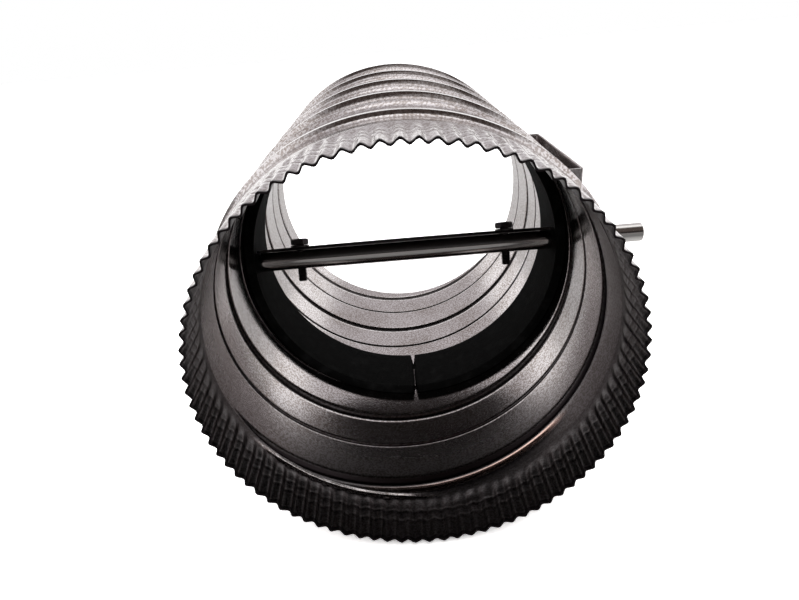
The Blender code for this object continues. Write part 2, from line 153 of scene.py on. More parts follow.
class DuctCrimpSizes(PropertyGroup):
    """Sizes of the crimped collar."""

    crimps: count("Crimps", "Number of crimps", 88)
    rim: length("Rim", "How far the cut edge stands back", 0.0001)
    drop: length("Drop", "From the bore down to the inside of the crests", 0.0006)
    depth: length("Depth", "From crest to valley", 0.0022)
    taper: share("Taper", "How much shallower the crimps are behind than at the rim", 0.55)
    straight: length("Straight", "Length of the straight part of the crimps", 0.0210)
    uneven: length("Uneven", "How uneven the crimps' run-out is", 0.0120)
    ease: length("Ease", "How far before the plain tube the last crimp has run out", 0.0016)
    wander: share("Wander", "How far a crimp strays from its place, in crimps", 0.35)
    wall: length("Wall", "Thickness of the crimped sheet along the radius", 0.0010)
    crease_at: length("Crease at", "From the rim to the first roller mark", 0.0130)
    crease_step: length("Crease step", "From the first roller mark to the second", 0.0062)
    crease_height: length("Crease height", "Height of the roller marks", 0.00022)
    crease_width: length("Crease width", "Width of the roller marks", 0.0024)
    crumple: length("Crumple", "How far the sheet is crumpled behind the crimps", 0.0009)
    crumple_end: length("Crumple end", "Length over which the crumple fades at the plain tube", 0.0040)
    # Painted shade: how dark the collar's inside is made, except on the lip before the first rib.
    stain: share("Stain", "How stained the inside is", 0.82)
    roundness: share("Roundness", "How straight the sides of the crimps are", 0.75)
    points: count("Points", "Points round each crimp", 8)
    rows: count("Rows", "Points along the collar", 44)


class DuctBandSizes(PropertyGroup):
    """Sizes of the rubber band."""

    thickness: length("Thickness", "Thickness of the band", 0.0060)
    width: length("Width", "Width of the band", 0.0410)
    at: length("At", "From the crimped rim to the band", 0.1300)
    slit: length("Slit", "Width of the butt joint at the bottom", 0.0002)
    edge: length("Edge", "Rounding of the band's edges", 0.0003)
    frayed: length("Frayed", "How far the cut ends are out of line", 0.0016)
    frayed_length: length("Frayed length", "Length of each end that is out of line", 0.0120)
    columns: count("Columns", "Points round the band", 420)
    rows: count("Rows", "Points across the band", 26)


class DuctDamperSizes(PropertyGroup):
    """Sizes of the shaft, the blade and what holds them."""

    shaft_radius: length("Shaft radius", "Radius of the shaft", 0.0060)
    shaft_chamfer: length("Shaft chamfer", "Chamfer at each end of the shaft", 0.0006)
    groove_at: length("Groove at", "From the duct's axis to each ring's groove", 0.1065)
    groove_width: length("Groove width", "Width of each groove", 0.0016)
    groove_radius: length("Groove radius", "Radius of the shaft in its grooves", 0.0051)
    blade_radius: length("Blade radius", "Radius of the blade", 0.0932)
    blade_thickness: length("Blade thickness", "Thickness of the blade's sheet", 0.0015)
    left_bolt: length("Left bolt", "From the middle of the duct to the left bolt", 0.0675)
    right_bolt: length("Right bolt", "From the middle of the duct to the right bolt", 0.0650)
    bolt_radius: length("Bolt radius", "Radius of the bolts' threads", 0.0030)
    head_flats: length("Head flats", "Width of the bolts' heads across the flats", 0.0100)
    head_height: length("Head height", "Height of the bolts' heads", 0.0040)
    thread_pitch: length("Thread pitch", "Pitch of the bolts' threads", 0.0010)
    thread_depth: length("Thread depth", "Depth of the bolts' threads", 0.0006)
    tail: length("Tail", "Thread that stands out under the shaft", 0.0080)
    washer_radius: length("Washer radius", "Outside radius of the spring washers", 0.0059)
    washer_height: length("Washer height", "Height of the spring washers, with their spread", 0.0016)
    washer_spread: share("Washer spread", "Share of that height by which the ends stand apart", 0.14)
    washer_slit: length("Washer slit", "Width of the spring washers' slit", 0.0010)
    flange_radius: length("Flange radius", "Radius of the bushes' flanges", 0.0120)
    flange_thickness: length("Flange thickness", "Thickness of the bushes' flanges", 0.0025)
    bush_wall: length("Bush wall", "Wall of the bushes", 0.0017)
    ring_radius: length("Ring radius", "Outside radius of the retaining rings", 0.0090)
    ring_width: length("Ring width", "Thickness of the retaining rings", 0.0010)
    ring_mouth: length("Ring mouth", "Width of the retaining rings' open side", 0.0088)
    lug_height: length("Lug height", "How far the rings' lugs stand inwards", 0.0016)


class DuctBracketSizes(PropertyGroup):
    """Sizes of the mounting bracket."""

    sheet: length("Sheet", "Thickness of the bracket", 0.0015)
    foot: length("Foot", "Length of each foot along the duct", 0.0120)
    rise: length("Rise", "From the inside of a foot to the inside of the face", 0.0032)
    face_bend: length("Face bend", "Inside radius of the bends at the face", 0.0010)
    foot_bend: length("Foot bend", "Radius of the bends at the feet, on the duct's side", 0.0020)
    edge: length("Edge", "Rounding of the sheet's edges", 0.0002)
    rows: count("Rows", "Points up the bracket", 48)
    bend_steps: count("Bend steps", "Points round each bend", 5)


class DuctFinishes(PropertyGroup):
    """Colours of the materials."""

    zinc: colour("Zinc", "Galvanised sheet", (0.66, 0.625, 0.63))
    tarnish: colour("Tarnish", "Galvanised sheet where it has dulled", (0.30, 0.255, 0.235))
    # Colour of the painted shade inside the tube and collar, and of the seams' dark slits and the collar's
    # dark cut edge.
    stain: colour("Stain", "Galvanised sheet where it is stained", (0.035, 0.028, 0.030))
    # Colour of the painted copper sheen on the lip before the first rib.
    worn: colour("Worn", "Galvanised sheet where it is worn", (0.86, 0.55, 0.45))
    rubber: colour("Rubber", "Band round the blade", (0.0055, 0.0055, 0.0055))
    plating: colour("Plating", "Plated shaft", (0.72, 0.70, 0.68))
    # The blade is near black, so that it and the walls that mirror it show dark.
    blade: colour("Blade", "Dulled sheet of the blade", (0.045, 0.040, 0.040))
    fastener: colour("Fastener", "Dark plated bolts and washers", (0.11, 0.10, 0.10))
    nylon: colour("Nylon", "Shaft bushes", (0.020, 0.020, 0.022))


class DuctStageSettings(PropertyGroup):
    """The studio round the duct."""

    camera_place: FloatVectorProperty(
        name="Camera place", description="Where the camera stands", unit="LENGTH", size=3,
        default=(-0.02331, -0.35966, 0.24290))
    camera_pan: FloatProperty(
        name="Camera pan", description="How far the camera turns to the right", unit="ROTATION",
        default=radians(-0.535))
    camera_tilt: FloatProperty(
        name="Camera tilt", description="How far the camera looks down", unit="ROTATION",
        default=radians(25.915))
    camera_roll: FloatProperty(
        name="Camera roll", description="How far the camera leans to the left", unit="ROTATION",
        default=radians(-4.878))
    camera_lens: FloatProperty(
        name="Camera lens", description="Focal length on a 36 mm sensor, in mm", default=26.64)
    floor: colour("Floor", "Pale floor", (0.80, 0.80, 0.80))
    exposure: FloatProperty(
        name="Exposure", description="How far the floor is overexposed, as in a studio shot", default=2.6)
    sky: FloatProperty(name="Sky", description="Strength of the white light behind the duct", default=1.3)
    room: colour("Room", "Dim room behind the camera, seen in the metal", (0.065, 0.052, 0.048))
    lamp_power: FloatProperty(name="Lamp power", description="Power of the soft lamp, in W", default=1.2)
    floor_lamp_power: FloatProperty(
        name="Floor lamp power", description="Power of the lamp that lights the floor in front, in W",
        default=16.0)


class DuctSectionSettings(PropertyGroup):
    """Everything that the user may change."""

    tube: PointerProperty(type=DuctTubeSizes)
    crimp: PointerProperty(type=DuctCrimpSizes)
    band: PointerProperty(type=DuctBandSizes)
    damper: PointerProperty(type=DuctDamperSizes)
    bracket: PointerProperty(type=DuctBracketSizes)
    finish: PointerProperty(type=DuctFinishes)
    stage: PointerProperty(type=DuctStageSettings)


# Node trees


class Value:
    """A number, vector, colour or shape in a node tree. Arithmetic on it adds Math nodes."""

    def __init__(self, nodes, socket):
        self.nodes = nodes
        self.socket = socket

    def also(self, output):
        """Gives another output of the same node."""
        return Value(self.nodes, self.socket.node.outputs[output])

    def math(self, operation, *others):
        """Gives a Math node's answer for this number and others."""
        inputs = dict(enumerate((self, *others)))
        return self.nodes.add("ShaderNodeMath", inputs, operation=operation)

    def __add__(self, other):
        return self.math("ADD", other)

    def __sub__(self, other):
        return self.math("SUBTRACT", other)

    def __mul__(self, other):
        return self.math("MULTIPLY", other)

    def __truediv__(self, other):
        return self.math("DIVIDE", other)

    def __radd__(self, other):
        return self.math("ADD", other)

    def __rsub__(self, other):
        return self.nodes.add("ShaderNodeMath", {0: other, 1: self}, operation="SUBTRACT")

    def __neg__(self):
        return self * -1.0

    def __abs__(self):
        return self.math("ABSOLUTE")

    def cosine(self):
        """Gives the cosine of this angle."""
        return self.math("COSINE")

    def sine(self):
        """Gives the sine of this angle."""
        return self.math("SINE")

    def rounded(self):
        """Gives the nearest whole number."""
        return self.math("ROUND")

    def above(self, limit):
        """Gives 1 where this is more than the limit, and otherwise 0."""
        return self.math("GREATER_THAN", limit)

    def within(self, low, high):
        """Gives this number, held between two limits."""
        return self.math("MAXIMUM", low).math("MINIMUM", high)

    def line(self, low, high):
        """Gives 0 up to the low limit and 1 from the high one, with a straight line between."""
        return self.nodes.add("ShaderNodeMapRange", {0: self, 1: low, 2: high})

    def ramp(self, low, high):
        """Gives 0 up to the low limit and 1 from the high one, with a smooth step between."""
        inputs = {0: self, 1: low, 2: high}
        return self.nodes.add("ShaderNodeMapRange", inputs, interpolation_type="SMOOTHSTEP")

    def fall(self, low, high):
        """Gives 1 up to the low limit and 0 from the high one, with a smooth step between."""
        return 1.0 - self.ramp(low, high)

    def between(self, low, high):
        """Gives the value that lies this share of the way from the low one to the high one."""
        return self * (high - low) + low


class Nodes:
    """Adds nodes to a tree and joins them."""

    def __init__(self, tree):
        self.tree = tree

    def add(self, kind, inputs=None, output=0, **settings):
        """Adds a node with its settings and inputs, and gives one of its outputs."""
        node = self.tree.nodes.new(kind)
        for name, setting in settings.items():
            setattr(node, name, setting)
        for socket, value in (inputs or {}).items():
            self.join(value, node.inputs[socket])
        return Value(self, node.outputs[output])

    def join(self, value, socket):
        """Links a value to a socket, or sets the socket to a plain number, vector or colour."""
        if isinstance(value, Value):
            self.tree.links.new(value.socket, socket)
        else:
            socket.default_value = int(value) if socket.type == "INT" else value

    def vector(self, x, y, z):
        """Gives a vector made of three numbers."""
        return self.add("ShaderNodeCombineXYZ", {0: x, 1: y, 2: z})

    def parts(self, vector):
        """Gives the three numbers of a vector."""
        first = self.add("ShaderNodeSeparateXYZ", {0: vector})
        return first, first.also(1), first.also(2)

    def noise(self, vector, size, detail=2.0):
        """Gives soft noise around 0.5, whose features have the given size in metres."""
        inputs = {"Vector": vector, "Scale": 1.0 / size, "Detail": detail}
        return self.add("ShaderNodeTexNoise", inputs)


# Making pieces


def new_holder(name, mesh):
    """Makes an object for a piece that is still being made."""
    holder = bpy.data.objects.new(name, mesh)
    bpy.context.scene.collection.objects.link(holder)
    return holder


def modelled(name, bm, *materials):
    """Makes a holder from a mesh that is being edited, and ends the editing."""
    mesh = bpy.data.meshes.new(name)
    bm.to_mesh(mesh)
    bm.free()
    for material in materials:
        mesh.materials.append(material)
    return new_holder(name, mesh)


def group_socket(tree, name, value):
    """Adds an input to a node group, of the kind that the value needs."""
    kind = "NodeSocketFloat"
    if isinstance(value, int):
        kind = "NodeSocketInt"
    elif isinstance(value, bpy.types.Material):
        kind = "NodeSocketMaterial"
    return tree.interface.new_socket(name=name, in_out="INPUT", socket_type=kind)


def grown(name, write_tree, material, **sizes):
    """Makes a holder whose shape comes from a geometry node tree with a named input for each size."""
    tree = bpy.data.node_groups.new(name, "GeometryNodeTree")
    inputs = {**sizes, "material": material}
    sockets = {label: group_socket(tree, label, value) for label, value in inputs.items()}
    tree.interface.new_socket(name="mesh", in_out="OUTPUT", socket_type="NodeSocketGeometry")
    nodes = Nodes(tree)
    given = nodes.add("NodeGroupInput")
    size = {label: given.also(label) for label in sizes}
    shape = write_tree(nodes, size)
    shape = nodes.add("GeometryNodeRealizeInstances", {"Geometry": shape})
    shape = nodes.add("GeometryNodeSetMaterial", {0: shape, "Material": given.also("material")})
    nodes.join(shape, tree.nodes.new("NodeGroupOutput").inputs[0])
    holder = new_holder(name, bpy.data.meshes.new(name))
    modifier = holder.modifiers.new(name, "NODES")
    modifier.node_group = tree
    for label, value in inputs.items():
        modifier[sockets[label].identifier] = value
    return holder


def sizes_of(group):
    """Gives the numbers in a property group by name."""
    numbers = [prop for prop in group.bl_rna.properties if prop.type in {"FLOAT", "INT"}]
    return {prop.identifier: getattr(group, prop.identifier) for prop in numbers}


def turned(name, outline, sides, material):
    """Makes a holder by turning an outline of (radius, height) about Z. It runs down the outer side.

    An outline that starts away from Z is closed.
    """
    mesh = bpy.data.meshes.new(name)
    edges = [(point, point + 1) for point in range(len(outline) - 1)]
    if outline[0][0] > 0.0:
        edges.append((len(outline) - 1, 0))
    mesh.from_pydata([(radius, 0.0, height) for radius, height in outline], edges, [])
    mesh.materials.append(material)
    holder = new_holder(name, mesh)
    screw = holder.modifiers.new("turn", "SCREW")
    screw.steps = screw.render_steps = sides
    screw.use_merge_vertices = True
    screw.merge_threshold = WELD
    return holder


def round_edges(holder, width, segments=2):
    """Rounds a holder's sharp edges."""
    bevel = holder.modifiers.new("round", "BEVEL")
    bevel.width = width
    bevel.segments = segments
    bevel.limit_method = "ANGLE"
    bevel.angle_limit = radians(40)


def rod(name, radius, bottom, top, sides, place=Matrix.Identity(4), materials=()):
    """Makes a holder with a plain bar along Z, which is then placed."""
    bm = bmesh.new()
    middle = Matrix.Translation((0.0, 0.0, (bottom + top) / 2))
    bmesh.ops.create_cone(
        bm, cap_ends=True, segments=sides, radius1=radius, radius2=radius, depth=top - bottom,
        matrix=place @ middle)
    return modelled(name, bm, *materials)


def cut(holder, cutter):
    """Cuts a shape out of a holder, as soon as the holder's modifiers are fixed."""
    boolean = holder.modifiers.new("cut", "BOOLEAN")
    boolean.operation = "DIFFERENCE"
    boolean.object = cutter
    cutter.hide_render = True


def finish_piece(holder, body, slot, *nodes, place=Matrix.Identity(4), corner=40.0):
    """Fixes a holder's modifiers in its mesh, places it, and lets it stand for nodes of the frame."""
    depsgraph = bpy.context.evaluated_depsgraph_get()
    cutters = [modifier.object for modifier in holder.modifiers if modifier.type == "BOOLEAN"]
    mesh = bpy.data.meshes.new_from_object(holder.evaluated_get(depsgraph))
    mesh.name = holder.name
    holder.modifiers.clear()
    holder.data = mesh
    for cutter in cutters:
        bpy.data.objects.remove(cutter)
    mesh.transform(place)
    mesh.shade_smooth()
    mesh.set_sharp_from_angle(angle=radians(corner))
    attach(holder, body)
    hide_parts(*nodes)


# The wound tube and its crimps

RIPPLE_SIZE = 0.07              # size of the bore's ripple
NECK_LEAD = 0.01                # how far inside the crimps the neck begins
WANDER_SIZE = 0.012             # size of the places where crimps stray and deepen alike
REACH_SIZE = 0.009              # size of the places where crimps run out alike
CRUMPLE_SIZE = 0.011            # size of the dents behind the crimps
BOTTOM = (0.55, 0.85)           # how far down, in radii, the low part of the wall begins and is full
LEFT = (-0.15, 0.25)            # the same to the left, for the collar's lip
LEFT_BOTTOM = (0.45, 0.75)      # and down, for the collar's lip
LIP_SHEEN = 0.3                      # share of a lip's height at which the painted copper sheen is full and the painted shade is gone


def on_duct(nodes, angle, along, radius):
    """The point at an angle, a distance from the rim and a radius."""
    x = radius * angle.cosine() + RIM.x
    z = radius * angle.sine() + RIM.z
    return nodes.vector(x, along + RIM.y, z)


def grid_steps(nodes, columns, rows):
    """Adds a grid, and gives it with the column and row of each corner."""
    grid = nodes.add(
        "GeometryNodeMeshGrid",
        {"Size X": 1.0, "Size Y": 1.0, "Vertices X": columns + 1.0, "Vertices Y": rows + 1.0})
    x, y, _ = nodes.parts(nodes.add("GeometryNodeInputPosition"))
    return grid, ((x + 0.5) * columns).rounded(), ((y + 0.5) * rows).rounded()


def wall_grid(nodes, columns, rows):
    """Adds a grid that runs along the inside of a wall, back along its outside, and meets its start."""
    last = rows * 2.0 + 2.0
    grid, column, step = grid_steps(nodes, columns, last)
    closing = step.above(last - 0.5)
    outside = step.above(rows + 0.5) - closing
    row = step + outside * (rows * 2.0 + 1.0 - step * 2.0) - closing * last
    return grid, column, row, outside


def marked(nodes, grid, name, value):
    """Keeps a number at each of a grid's corners, under a name that the materials read."""
    inputs = {"Geometry": grid, "Name": name, "Value": value}
    return nodes.add("GeometryNodeStoreNamedAttribute", inputs, data_type="FLOAT", domain="POINT")


def laid(nodes, grid, place):
    """Lays a grid's corners at their places and welds those that meet."""
    moved = nodes.add("GeometryNodeSetPosition", {"Geometry": grid, "Position": place})
    return nodes.add("GeometryNodeMergeByDistance", {"Geometry": moved, "Distance": WELD})


def real_bore(nodes, size, angle, along):
    """The bore with its ripple, and with the slight neck that crimping leaves behind the collar."""
    spot = on_duct(nodes, angle, along, size["bore_radius"])
    ripple = (nodes.noise(spot, RIPPLE_SIZE, detail=1.0) - 0.5) * size["ripple"]
    necked = (along - size["start"]).fall(-NECK_LEAD, size["neck_length"])
    return size["bore_radius"] + ripple - necked * size["neck"]


def past_ridge(size, along, turned_by, ridge_at):
    """The distance to the nearest turn of a ridge that winds round the duct."""
    turns = (along - ridge_at) / size["pitch"] - turned_by
    return (turns - turns.rounded()) * size["pitch"]


def slope(size, from_edge):
    """A lip before an edge, as a share of its height: it rises quickly and falls slowly to the edge."""
    top = -size["lip_width"]
    return from_edge.line(top * 1.5, top) - from_edge.line(top, 0.0)


def wound_tube(nodes, size):
    """The plain wall: rows of points follow the strip, crowd at its ridges and stop at the square ends."""
    crowding = 0.72             # from 0, rows evenly spaced, to 1, rows drawn together at the ridges
    spare_turns = 2.0           # one at each end, which the square ends cut short
    pitch, start, end = size["pitch"], size["start"], size["end"]
    turns = ((end - start) / pitch).math("CEIL") + spare_turns
    grid, column, row, outside = wall_grid(nodes, size["columns"], turns * size["rows_per_turn"])
    turned_by = column / size["columns"]
    angle = (turned_by - 0.25) * tau
    strip = row / size["rows_per_turn"] - 1.0
    strip = strip - (strip * (2 * tau)).sine() * (crowding / (2 * tau))
    first = ((start - size["seam_at"]) / pitch).math("FLOOR")
    along = (size["seam_at"] + pitch * (first + strip + turned_by)).within(start, end)
    behind = along - start
    rise = behind.ramp(0.0, size["rise"])
    past_rib = past_ridge(size, along, turned_by, size["rib_at"])
    to_rib = abs(past_rib)
    to_seam = abs(past_ridge(size, along, turned_by, size["seam_at"]))
    rib = (to_rib.line(0.0, size["rib_width"] / 2.0) * pi).cosine() * 0.5 + 0.5
    seam_edge = size["seam_width"] / 2.0
    seam = to_seam.fall(seam_edge - size["seam_side"], seam_edge)
    slit = 1.0 - to_seam.line(0.0, size["slit_width"] / 2.0)
    low = (-angle.sine()).ramp(*BOTTOM)
    lip = slope(size, past_rib + size["rib_width"] / 2.0)
    lip = lip * rise * low * behind.fall(size["lip_full"], size["lip_end"])
    formed = rise * rib * size["rib_height"] - lip * size["lip_height"]
    inside = formed + rise * slit * size["slit_depth"]
    seam_height = size["crest_radius"] - size["bore_radius"] - size["sheet"] - size["ripple"]
    outer = size["sheet"] + formed + rise * seam * seam_height
    radius = outside.between(inside, outer) + real_bore(nodes, size, angle, along)
    # Painted shade on the inside behind the crimps, more at the bottom and on the driven side.
    stain = size["stain"] + low * size["stain_low"] + angle.cosine() * size["stain_side"]
    stain = stain * behind.fall(0.0, size["stain_end"])
    dark_slit = slit.ramp(0.0, 0.4)
    # Painted copper sheen on the lip before the first rib, where the painted shade is left off.
    worn = lip.ramp(0.0, LIP_SHEEN)
    copper_side = (angle.cosine() + 0.6).within(0.2, 1.0)     # the painted copper sheen is strongest on the driven side
    # Painted shade in the rib's groove and behind the crimps, with the seam's dark slit, only on the inside.
    shade_and_dark_marks = (rise * (rib + dark_slit) + stain).within(0.0, 1.0) * (1.0 - outside)
    grid = marked(nodes, grid, "shade_and_dark_marks", shade_and_dark_marks * (1.0 - worn))
    grid = marked(nodes, grid, "sheen_and_wear", worn * copper_side)
    return laid(nodes, grid, on_duct(nodes, angle, along, radius))


def crimped_collar(nodes, size):
    """The crimped end, whose sheet is as thick along the radius as its slanting sides need."""
    drawn_out = 0.25            # so that a crimp strays much the same way all along
    shallowest, deepest = 0.88, 1.12
    start, straight = size["start"], size["straight"]
    columns = size["crimps"] * size["points"]
    grid, column, row, outside = wall_grid(nodes, columns, size["rows"])
    along = (row / size["rows"]).between(size["rim"], start)
    angle = column / columns * tau
    spot = on_duct(nodes, angle, along, size["bore_radius"])
    rim_spot = on_duct(nodes, angle, along * drawn_out, size["bore_radius"])
    wander = nodes.noise(rim_spot, WANDER_SIZE)
    reach = nodes.noise(rim_spot, REACH_SIZE)
    crumple = nodes.noise(spot, CRUMPLE_SIZE, detail=3.0) - 0.5
    crimp = column / size["points"] + (wander - 0.5) * size["wander"]
    rounding = size["roundness"]
    wave = ((crimp * tau).cosine() * rounding).math("ARCSINE") / rounding.math("ARCSINE")
    run_out = straight + (reach - 0.5) * size["uneven"]
    held = along.fall(run_out, start - size["ease"])
    tapered = 1.0 - along.line(0.0, straight) * size["taper"]
    depth = size["depth"] * wander.between(shallowest, deepest) * tapered
    valley = held * (size["drop"] + depth * (0.5 - wave * 0.5))
    first = abs(along - size["crease_at"]).ramp(0.0, size["crease_width"] / 2.0)
    second = abs(along - size["crease_at"] - size["crease_step"])
    second = second.ramp(0.0, size["crease_width"] / 2.0)
    creases = (2.0 - first - second) * size["crease_height"]
    lower_left = (-angle.cosine()).ramp(*LEFT) * (-angle.sine()).ramp(*LEFT_BOTTOM)
    lip = slope(size, along - start) * lower_left
    creases = creases + lip * size["lip_height"]
    slack = along.ramp(straight * 0.6, straight) - along.ramp(start - size["crumple_end"], start)
    dents = crumple * slack * size["crumple"]
    wall = held.between(size["sheet"], size["wall"])
    radius = real_bore(nodes, size, angle, along) - valley - creases + dents + outside * wall
    cut_edge = 1.0 - along.line(size["sheet"], size["sheet"] * 3.0)
    # Painted shade over the collar's inside, left off the lip; the cut edge is darker too.
    stain = (1.0 - outside) * size["stain"] * lip.fall(0.0, LIP_SHEEN)
    grid = marked(nodes, grid, "shade_and_dark_marks", (cut_edge + stain).within(0.0, 1.0))
    return laid(nodes, grid, on_duct(nodes, angle, along, radius))


# The rubber band


def rubber_band(nodes, size):
    """The band: its two cut ends meet at the bottom of the duct, and its corners are square."""
    fray_size, even = 0.004, 0.45       # the size of the noise, and its value where the end is in line
    room = SKIN * 3             # clearance from the bore, which is taken off the band's thickness
    columns = size["columns"]
    grid, column, row, outside = wall_grid(nodes, columns, size["rows"])
    full = (column - 1.0).line(-0.5, 0.5) * (1.0 - (column - columns + 1.0).line(-0.5, 0.5))
    half_slit = size["slit"] / size["bore_radius"] / 2.0
    sweep = tau - half_slit * 2.0
    angle = (column - 1.0).line(0.0, columns - 2.0) * sweep + half_slit - pi / 2
    across = row / size["rows"] - 0.5
    to_joint = (pi - abs(angle - pi / 2)) * size["bore_radius"]
    near = to_joint.fall(0.0, size["frayed_length"])
    spot = on_duct(nodes, angle, across * size["width"], size["bore_radius"])
    frayed = (nodes.noise(spot, fray_size, detail=3.0) - even) * size["frayed"] * near
    middle = size["at"] + size["width"] / 2.0
    along = middle + across * full * size["width"] + frayed * across * 2.0
    outer = size["bore_radius"] - room
    half = size["thickness"] / 2.0 - room / 2.0
    radius = outer - half + (outside * 2.0 - 1.0) * half * full
    return laid(nodes, grid, on_duct(nodes, angle, along, radius))


# The bolts and washers

HEAD_FACE, HEAD_SEAT = 0.94, 0.96   # width of a head's top and of its underside, in widths across the flats
HEAD_CHAMFER, SEAT_CHAMFER = 1.732, 3.0     # how steeply the chamfers leave them
TIP_SIZE = 0.72                 # radius of a thread's tip, as a share of the bolt's


def hexagon_bolt(nodes, size):
    """A bolt along Z: the head's chamfered corners and the winding thread are rules for the radius."""
    head_rows, rows_per_thread, columns = 8.0, 10.0, 72.0
    top = size["head_bottom"] + size["head_height"]
    reach = size["head_bottom"] - size["tip"]
    thread_rows = (reach / size["thread_pitch"]).math("CEIL") * rows_per_thread
    rows = thread_rows + (head_rows + 2.0)
    grid, column, row = grid_steps(nodes, columns, rows)
    angle = column / columns * tau
    below = row.above(head_rows + 0.5)
    down = (row - head_rows - 1.0).line(0.0, thread_rows)
    height = top - row.line(1.0, head_rows) * size["head_height"] - down * reach
    sixth = (angle / (tau / 6)).math("FRACT") - 0.5
    flats = size["head_flats"] / 2.0
    prism = flats / (sixth * (tau / 6)).cosine()
    chamfer = flats * HEAD_FACE + (top - height) * HEAD_CHAMFER
    underside = flats * HEAD_SEAT + (height - size["head_bottom"]) * SEAT_CHAMFER
    head = prism.math("MINIMUM", chamfer).math("MINIMUM", underside)
    wound = (height / size["thread_pitch"] - column / columns).math("FRACT")
    groove = abs(wound - 0.5) * 2.0
    point = size["bolt_radius"] * TIP_SIZE + (height - size["tip"])
    thread = (size["bolt_radius"] - groove * size["thread_depth"]).math("MINIMUM", point)
    solid = row.line(0.0, 1.0) * (1.0 - (row - rows + 1.0).line(0.0, 1.0))
    radius = below.between(head, thread) * solid
    place = nodes.vector(radius * angle.cosine(), radius * angle.sine(), height)
    return laid(nodes, grid, place)


def spring_washer(nodes, size):
    """A split ring whose two ends stand a little apart."""
    arc_points = 64
    middle = (size["outside"] + size["inside"]) / 2.0
    gap = size["slit"] / middle
    arc = nodes.add(
        "GeometryNodeCurveArc",
        {"Resolution": arc_points, "Radius": middle, "Start Angle": gap / 2.0 + pi / 2,
         "Sweep Angle": tau - gap})
    spread = nodes.add("GeometryNodeSplineParameter") - 0.5
    lift = nodes.vector(0.0, 0.0, spread * size["spread"] + size["height"])
    lifted = nodes.add("GeometryNodeSetPosition", {"Geometry": arc, "Offset": lift})
    section = nodes.add(
        "GeometryNodeCurvePrimitiveQuadrilateral",
        {"Width": size["outside"] - size["inside"], "Height": size["thickness"]})
    return nodes.add(
        "GeometryNodeCurveToMesh", {"Curve": lifted, "Profile Curve": section, "Fill Caps": True})


# The retaining rings and the bracket


def lug_radius(damper, angle):
    """The ring's inner radius: it grips the groove at its ends and two lugs, and is wider between them."""
    end_lug = radians(30)
    lug_width = 2.2
    grip = max(0.0, cos(3 * angle)) if end_lug < angle < tau - end_lug else 1.0
    return damper.groove_radius + SKIN + damper.lug_height * (1.0 - min(1.0, lug_width * grip))


def retaining_ring(name, damper, steel):
    """Makes a flat ring round Z that is open towards X."""
    opening = asin(damper.ring_mouth / 2 / damper.ring_radius)
    bottom = damper.groove_at + (damper.groove_width - damper.ring_width) / 2
    top = bottom + damper.ring_width
    bm = bmesh.new()
    stations = []
    for point in range(RING_POINTS + 1):
        angle = opening + (tau - 2 * opening) * point / RING_POINTS
        near, far = lug_radius(damper, angle), damper.ring_radius
        corners = [(near, bottom), (far, bottom), (far, top), (near, top)]
        stations.append([
            bm.verts.new((radius * cos(angle), radius * sin(angle), height))
            for radius, height in corners])
    for station, following in zip(stations, stations[1:]):
        for corner in range(len(station)):
            after = (corner + 1) % len(station)
            bm.faces.new(
                (station[corner], station[after], following[after], following[corner]))
    bm.faces.new(stations[0])
    bm.faces.new(stations[-1])
    bmesh.ops.recalc_face_normals(bm, faces=bm.faces)
    return modelled(name, bm, steel)


def bent_path(corners, radii, steps):
    """A path of (along, across) points through square corners, each rounded to its radius."""
    path = [corners[0]]
    for before, corner, after, radius in zip(corners, corners[1:], corners[2:], radii):
        arriving = (corner - before).normalized()
        leaving = (after - corner).normalized()
        centre = corner + radius * (leaving - arriving)
        for step in range(steps + 1):
            turned_by = pi / 2 * step / steps
            path.append(centre + radius * (arriving * sin(turned_by) - leaving * cos(turned_by)))
    return path + [corners[-1]]


def bracket_section(bracket, height):
    """The bracket's duct-side surface at a height above the shaft, from foot to foot."""
    face = BRACKET_HIGH.x - RIM.x - bracket.sheet
    foot = sqrt((face - bracket.rise) ** 2 - height ** 2)
    low, high = BRACKET_LOW.y - RIM.y, BRACKET_HIGH.y - RIM.y
    front = low + bracket.foot + bracket.sheet
    back = high - bracket.foot - bracket.sheet
    corners = [
        Vector((low, foot)), Vector((front, foot)), Vector((front, face)),
        Vector((back, face)), Vector((back, foot)), Vector((high, foot)),
    ]
    radii = [bracket.foot_bend, bracket.face_bend, bracket.face_bend, bracket.foot_bend]
    return bent_path(corners, radii, bracket.bend_steps)


def bracket_sheet(name, bracket, material):
    """Makes the bracket's duct-side surface: a row of sections from its lower to its upper edge."""
    bm = bmesh.new()
    bottom, top = BRACKET_LOW.z - RIM.z, BRACKET_HIGH.z - RIM.z
    rows = []
    for row in range(bracket.rows + 1):
        height = bottom + (top - bottom) * row / bracket.rows
        rows.append([
            bm.verts.new(RIM + Vector((across, along, height)))
            for along, across in bracket_section(bracket, height)])
    for lower, upper in zip(rows, rows[1:]):
        for place in range(len(lower) - 1):
            bm.faces.new((lower[place], lower[place + 1], upper[place + 1], upper[place]))
    bmesh.ops.recalc_face_normals(bm, faces=bm.faces)
    return modelled(name, bm, material)


# Materials


def new_finish(name, tint, metallic, roughness, **sockets):
    """Makes a material with one shader, and gives it with its nodes and its shader."""
    material = bpy.data.materials.new(name)
    material.use_nodes = True
    shader = material.node_tree.nodes["Principled BSDF"]
    shader.inputs["Base Color"].default_value = (*tint, 1.0)
    shader.inputs["Metallic"].default_value = metallic
    shader.inputs["Roughness"].default_value = roughness
    for socket, value in sockets.items():
        shader.inputs[socket.replace("_", " ")].default_value = value
    material.diffuse_color = (*tint, 1.0)
    return material, Nodes(material.node_tree), shader


